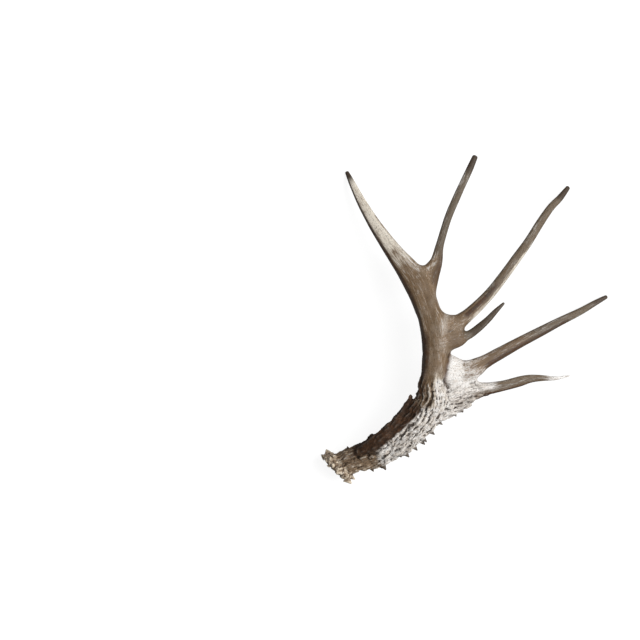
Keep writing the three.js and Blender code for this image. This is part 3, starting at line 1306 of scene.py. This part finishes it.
TAUPE = tint("#866f56")
TAUPE_DARK = tint("#67533d")
TAUPE_LIGHT = tint("#a5937a")
TAUPE_GREY = tint("#847666")
IVORY = tint("#ebe9e6")
IVORY_SHADE = tint("#d3cac1")
CREAM_SHADE = tint("#b0a292")
UMBER = tint("#322113")
UMBER_RED = tint("#4d331f")
GREY_BROWN = tint("#61574a")
BROWN = tint("#5c4936")
CREAM_AND_HIGHLIGHT = tint("#dbd2c3")
DRAB = tint("#6f6254")
TIP_BROWN_AND_SPIKE_SHADE = tint("#463a2f")
DIRT_AND_SHADE = tint("#2c2016")
WORN_AND_HIGHLIGHT = tint("#e6dfd5")
WORN_TAN_AND_HIGHLIGHT = tint("#e6d7c0")
TAN = tint("#a08870")


class Patterns:
    """The patterns and masks that the colours of the bone follow, sized in millimetres."""

    def __init__(self, tree):
        self.tree = tree
        self.ragged = ragged_group()
        drawn_out = along_grain_group()
        self.place = scaled(tree, put(tree, "ShaderNodeTexCoord").outputs["Object"], 1 / MM)
        self.bands = group(tree, drawn_out, Width=7.0, Length=60.0, Detail=3.0)
        self.lines = group(tree, drawn_out, Width=1.3, Length=13.0, Detail=4.0, Offset=40.0)
        self.blotches = noise(tree, self.place, 0.05, 4.0)
        self.mottle = noise(tree, self.place, 0.14, 5.0, 0.65)
        self.flecks = noise(tree, self.place, 0.6, 2.0)
        self.edges = self.banded(self.mottle)
        self.streaks = self.banded(self.lines)
        self.rough = painted(tree, "rough")[0]
        self.burr = painted(tree, "burr")[0]

    def banded(self, pattern):
        """A pattern mixed with the bands."""
        share = maths(self.tree, "MULTIPLY", pattern, 0.6)
        return maths(self.tree, "MULTIPLY_ADD", self.bands, 0.4, share)

    def marked(self, name, raggedness, softness, pattern=None):
        """Where the bone is marked, with an edge as ragged as a pattern."""
        values = {"Mask": painted(self.tree, name)[0], "Noise": pattern or self.edges}
        values.update(Raggedness=raggedness, Softness=softness)
        return group(self.tree, self.ragged, **values)


# In the coats of colour below, a ramp's numbers are where its pattern starts to show and where
# it shows in full, a mark's are how ragged and how soft its edge is, and the number before the
# shade is how strongly it covers what is under it.


def tinged(tree, colour, factor, strength, shade):
    return blend_colours(tree, maths(tree, "MULTIPLY", factor, strength), colour, shade)


def taupe_colour(tree, seen):
    """The plain bone with its streaks, browner, greyer and creamier in places, the creamier
    parts partly a painted highlight on the sides toward the light.
    """
    colour = blend_colours(tree, ramped(tree, seen.bands, 0.3, 0.7), TAUPE_DARK, TAUPE)
    colour = tinged(tree, colour, ramped(tree, seen.lines, 0.46, 0.74), 0.2, TAUPE_LIGHT)
    colour = tinged(tree, colour, ramped(tree, seen.lines, 0.5, 0.32), 0.45, TAUPE_DARK)
    colour = tinged(tree, colour, ramped(tree, seen.blotches, 0.45, 0.7), 0.5, TAUPE_GREY)
    colour = tinged(tree, colour, seen.marked("tan", 1.4, 0.4), 0.5, TAN)
    colour = tinged(tree, colour, seen.marked("brown", 1.8, 0.5, seen.streaks), 0.8, BROWN)
    colour = tinged(tree, colour, seen.marked("grey", 1.6, 0.5, seen.streaks), 0.85, GREY_BROWN)
    # creamy bone, partly a painted highlight on the faces toward the light
    cream_and_highlight = blend_colours(tree, ramped(tree, seen.streaks, 0.36, 0.5), CREAM_SHADE, CREAM_AND_HIGHLIGHT)
    return blend_colours(tree, seen.marked("cream_and_highlight", 2.0, 0.45, seen.streaks), colour, cream_and_highlight)


def ivory_colour(tree, seen):
    """The bleached bone."""
    ivory = blend_colours(tree, ramped(tree, seen.lines, 0.3, 0.6), IVORY_SHADE, IVORY)
    dulled = maths(tree, "MULTIPLY", ramped(tree, seen.mottle, 0.6, 0.4), seen.rough)
    ivory = tinged(tree, ivory, dulled, 0.6, CREAM_SHADE)
    return tinged(tree, ivory, seen.marked("drab", 3.0, 0.25, seen.lines), 0.8, DRAB)


def stained_and_shaded(tree, seen, colour, stain_and_shade):
    """A colour with the pale seam, painted shade in the crease by the web, the umber stains,
    painted shade along the beam's left flank, and the dark tips over it.
    """
    colour = tinged(tree, colour, painted(tree, "seam_pale")[0], 0.3, WORN_AND_HIGHLIGHT)
    # painted shade in the crease where the web leaves the beam
    colour = tinged(tree, colour, painted(tree, "crease_shade")[0], 0.8, UMBER_RED)
    umber = blend_colours(tree, ramped(tree, seen.mottle, 0.4, 0.65), UMBER, UMBER_RED)
    colour = blend_colours(tree, stain_and_shade, colour, umber)
    # partly stains, partly painted shade: darker along the beam's left flank, away from the
    # light
    colour = tinged(tree, colour, seen.marked("edge", 0.5, 0.25), 0.8, umber)
    return blend_colours(tree, seen.marked("tip", 0.5, 0.45), colour, TIP_BROWN_AND_SPIKE_SHADE)


def weathered_and_shaded(tree, seen, colour, stain_and_shade):
    """A colour with dirt and painted shade in its hollows, wear and painted highlights on its
    ridges, painted highlights and painted shade in spots on the burr, painted shade on its
    spikes, and dark flecks.
    """
    fine, wide = painted(tree, "hollow_fine")[0], painted(tree, "hollow_wide")[0]
    # painted shade, with dirt: the bone is darker in its hollows, narrow and wide
    colour = tinged(tree, colour, ramped(tree, wide, 0.2, 0.9), 0.6, DIRT_AND_SHADE)
    colour = tinged(tree, colour, ramped(tree, fine, 0.08, 0.4), 0.75, DIRT_AND_SHADE)
    # wear and painted highlights: what stands out is paler, most on the burr, less under the
    # umber stains
    clean = maths(tree, "MULTIPLY_ADD", stain_and_shade, -0.85, 1.0)
    worn_and_lit = product(tree, ramped(tree, wide, -0.3, -1.0), seen.rough, clean)
    yellowed = maths(tree, "MAXIMUM", seen.burr, painted(tree, "tan")[0])
    paler = blend_colours(tree, yellowed, WORN_AND_HIGHLIGHT, WORN_TAN_AND_HIGHLIGHT)
    colour = tinged(tree, colour, worn_and_lit, maths(tree, "MULTIPLY_ADD", seen.burr, 0.4, 0.5), paler)
    # painted highlights: pale spots on the burr
    burr_highlights = ramped(tree, noise(tree, seen.place, 0.12, 2.0), 0.5, 0.64)
    colour = tinged(tree, colour, maths(tree, "MULTIPLY", burr_highlights, seen.burr), 0.4, WORN_TAN_AND_HIGHLIGHT)
    # painted shade: dark spots on the burr standing for its shaded pits
    pit_shade = ramped(tree, noise(tree, seen.place, 0.17, 2.0), 0.54, 0.66)
    colour = tinged(tree, colour, maths(tree, "MULTIPLY", pit_shade, seen.burr), 0.7, DIRT_AND_SHADE)
    # painted shade: the spikes are darker the farther up them, less so on the burr
    off_burr = maths(tree, "MULTIPLY_ADD", seen.burr, -0.8, 0.9)
    raised = ramped(tree, painted(tree, "spike")[0], 0.12, 0.45)
    colour = tinged(tree, colour, raised, off_burr, TIP_BROWN_AND_SPIKE_SHADE)
    return tinged(tree, colour, ramped(tree, seen.flecks, 0.53, 0.68), 0.5, DIRT_AND_SHADE)


def bone_material():
    """Weathered antler: taupe bone, bleached ivory, umber stains and dirt, with painted shade in
    its hollows and creases and on the beam's left flank, and painted highlights on its ridges.
    """
    bone = bpy.data.materials.new("antler_bone")
    bone.use_nodes = True
    tree = bone.node_tree
    shader = tree.nodes["Principled BSDF"]
    shader.inputs["Specular IOR Level"].default_value = 0.25
    seen = Patterns(tree)

    colour = taupe_colour(tree, seen)
    ivory = ivory_colour(tree, seen)
    colour = blend_colours(tree, seen.marked("chalk", 3.0, 0.5, seen.streaks), colour, ivory)
    colour = blend_colours(tree, seen.marked("bleach", 1.3, 0.25), colour, ivory)
    # partly real stains, partly painted shade on the beam's left flank
    stain_and_shade = seen.marked("stain_and_shade", 1.0, 0.3)
    colour = stained_and_shaded(tree, seen, colour, stain_and_shade)
    colour = weathered_and_shaded(tree, seen, colour, stain_and_shade)
    tree.links.new(colour, shader.inputs["Base Color"])

    dull = maths(tree, "MULTIPLY_ADD", seen.rough, 0.25, 0.45)
    dull = maths(tree, "ADD", dull, maths(tree, "MULTIPLY", seen.flecks, 0.15))
    tree.links.new(dull, shader.inputs["Roughness"])

    grooves = maths(tree, "ADD", seen.lines, maths(tree, "MULTIPLY", seen.flecks, 0.6))
    inputs = {"Strength": 0.4, "Distance": 0.4 * MM, "Height": grooves}
    bump = put(tree, "ShaderNodeBump", inputs)
    tree.links.new(bump.outputs["Normal"], shader.inputs["Normal"])
    return bone


# ---------------------------------------------------------------- the antler


def make_antler():
    """The whole antler as one piece that stands for every CAD node."""
    bone = bone_material()
    skin = studded(draw_bone(), bone)
    fused(skin)
    write_growth(skin.data)
    grown(skin, relief_tree(), **RELIEF, Material=bone)
    thinned(skin)
    set_down(skin.data)
    write_growth(skin.data)
    write_hollows(skin.data)
    skin.data.name = skin.name
    for face in skin.data.polygons:
        face.use_smooth = True
    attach(skin, "root")
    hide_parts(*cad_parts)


# ---------------------------------------------------------------- floor, light and camera

FLOOR_SIDE = 30.0
FLOOR_GREY = (0.4, 0.4, 0.4, 1)  # as it lights the antler
FLOOR_SEEN = (0.2, 0.2, 0.2, 1)  # as the camera sees it, and its glow there
FLOOR_GLOW = 0.88
WINDOW_SIZE = math.radians(40)  # across, as seen from the antler
WINDOW_TURN = (0, math.radians(34), math.radians(10))
WINDOW_STRENGTH = 2.75
ROOM_DARK = (-0.8, 0.16)  # towards the left: where it starts, and how bright it is
ROOM_BRIGHT = (0.9, 0.6)  # towards the right
PICTURE_WIDTH = 928 * MM  # of what it takes in at the level halfway up the antler
PICTURE_CENTRE = (-208.8 * MM, -0.7 * MM)
CAMERA_DISTANCE = 12.0
SENSOR_WIDTH = 36  # in millimetres
FARTHEST = 100.0  # that the camera sees


def make_floor():
    """A plain pale floor."""
    mesh = bpy.data.meshes.new("floor")
    half = FLOOR_SIDE / 2
    corners = [(-half, -half, 0), (half, -half, 0), (half, half, 0), (-half, half, 0)]
    mesh.from_pydata(corners, [], [(0, 1, 2, 3)])
    floor = new_object("floor", mesh)
    white = bpy.data.materials.new("white_table")
    white.use_nodes = True
    tree = white.node_tree
    seen = put(tree, "ShaderNodeLightPath").outputs["Is Camera Ray"]
    shader = tree.nodes["Principled BSDF"]
    shader.inputs["Roughness"].default_value = 0.9
    shader.inputs["Emission Color"].default_value = (1, 1, 1, 1)
    shade = blend_colours(tree, seen, FLOOR_GREY, FLOOR_SEEN)
    tree.links.new(shade, shader.inputs["Base Color"])
    glow = maths(tree, "MULTIPLY", seen, FLOOR_GLOW)
    tree.links.new(glow, shader.inputs["Emission Strength"])
    mesh.materials.append(white)


def make_light():
    """A wide soft light from the right, in a room that is brighter on that side."""
    lamp = bpy.data.lights.new("window", "SUN")
    lamp.angle = WINDOW_SIZE
    lamp.energy = WINDOW_STRENGTH
    new_object("window", lamp).rotation_euler = WINDOW_TURN
    world = bpy.data.worlds.new("studio")
    bpy.context.scene.world = world
    world.use_nodes = True
    tree = world.node_tree
    where = put(tree, "ShaderNodeTexCoord").outputs["Generated"]
    from_right = put(tree, "ShaderNodeSeparateXYZ", {"Vector": where}).outputs["X"]
    (left, dark), (right, bright) = ROOM_DARK, ROOM_BRIGHT
    strength = ramped(tree, from_right, left, right, dark, bright)
    seen = put(tree, "ShaderNodeLightPath").outputs["Is Camera Ray"]
    shade = blend_numbers(tree, seen, strength, 1.0)
    tree.links.new(shade, tree.nodes["Background"].inputs["Strength"])
    tree.nodes["Background"].inputs["Color"].default_value = (1, 1, 1, 1)


def make_camera():
    """A camera far above that looks straight down."""
    lens = bpy.data.cameras.new("camera")
    lens.sensor_width = SENSOR_WIDTH
    lens.lens = lens.sensor_width * CAMERA_DISTANCE / PICTURE_WIDTH
    lens.clip_end = FARTHEST
    camera = new_object("camera", lens)
    middle = (cad_low.z + cad_high.z) / 2
    camera.location = (*PICTURE_CENTRE, middle + CAMERA_DISTANCE)
    bpy.context.scene.camera = camera


make_antler()
make_floor()
make_light()
make_camera()
bpy.context.scene.view_settings.view_transform = "Standard"
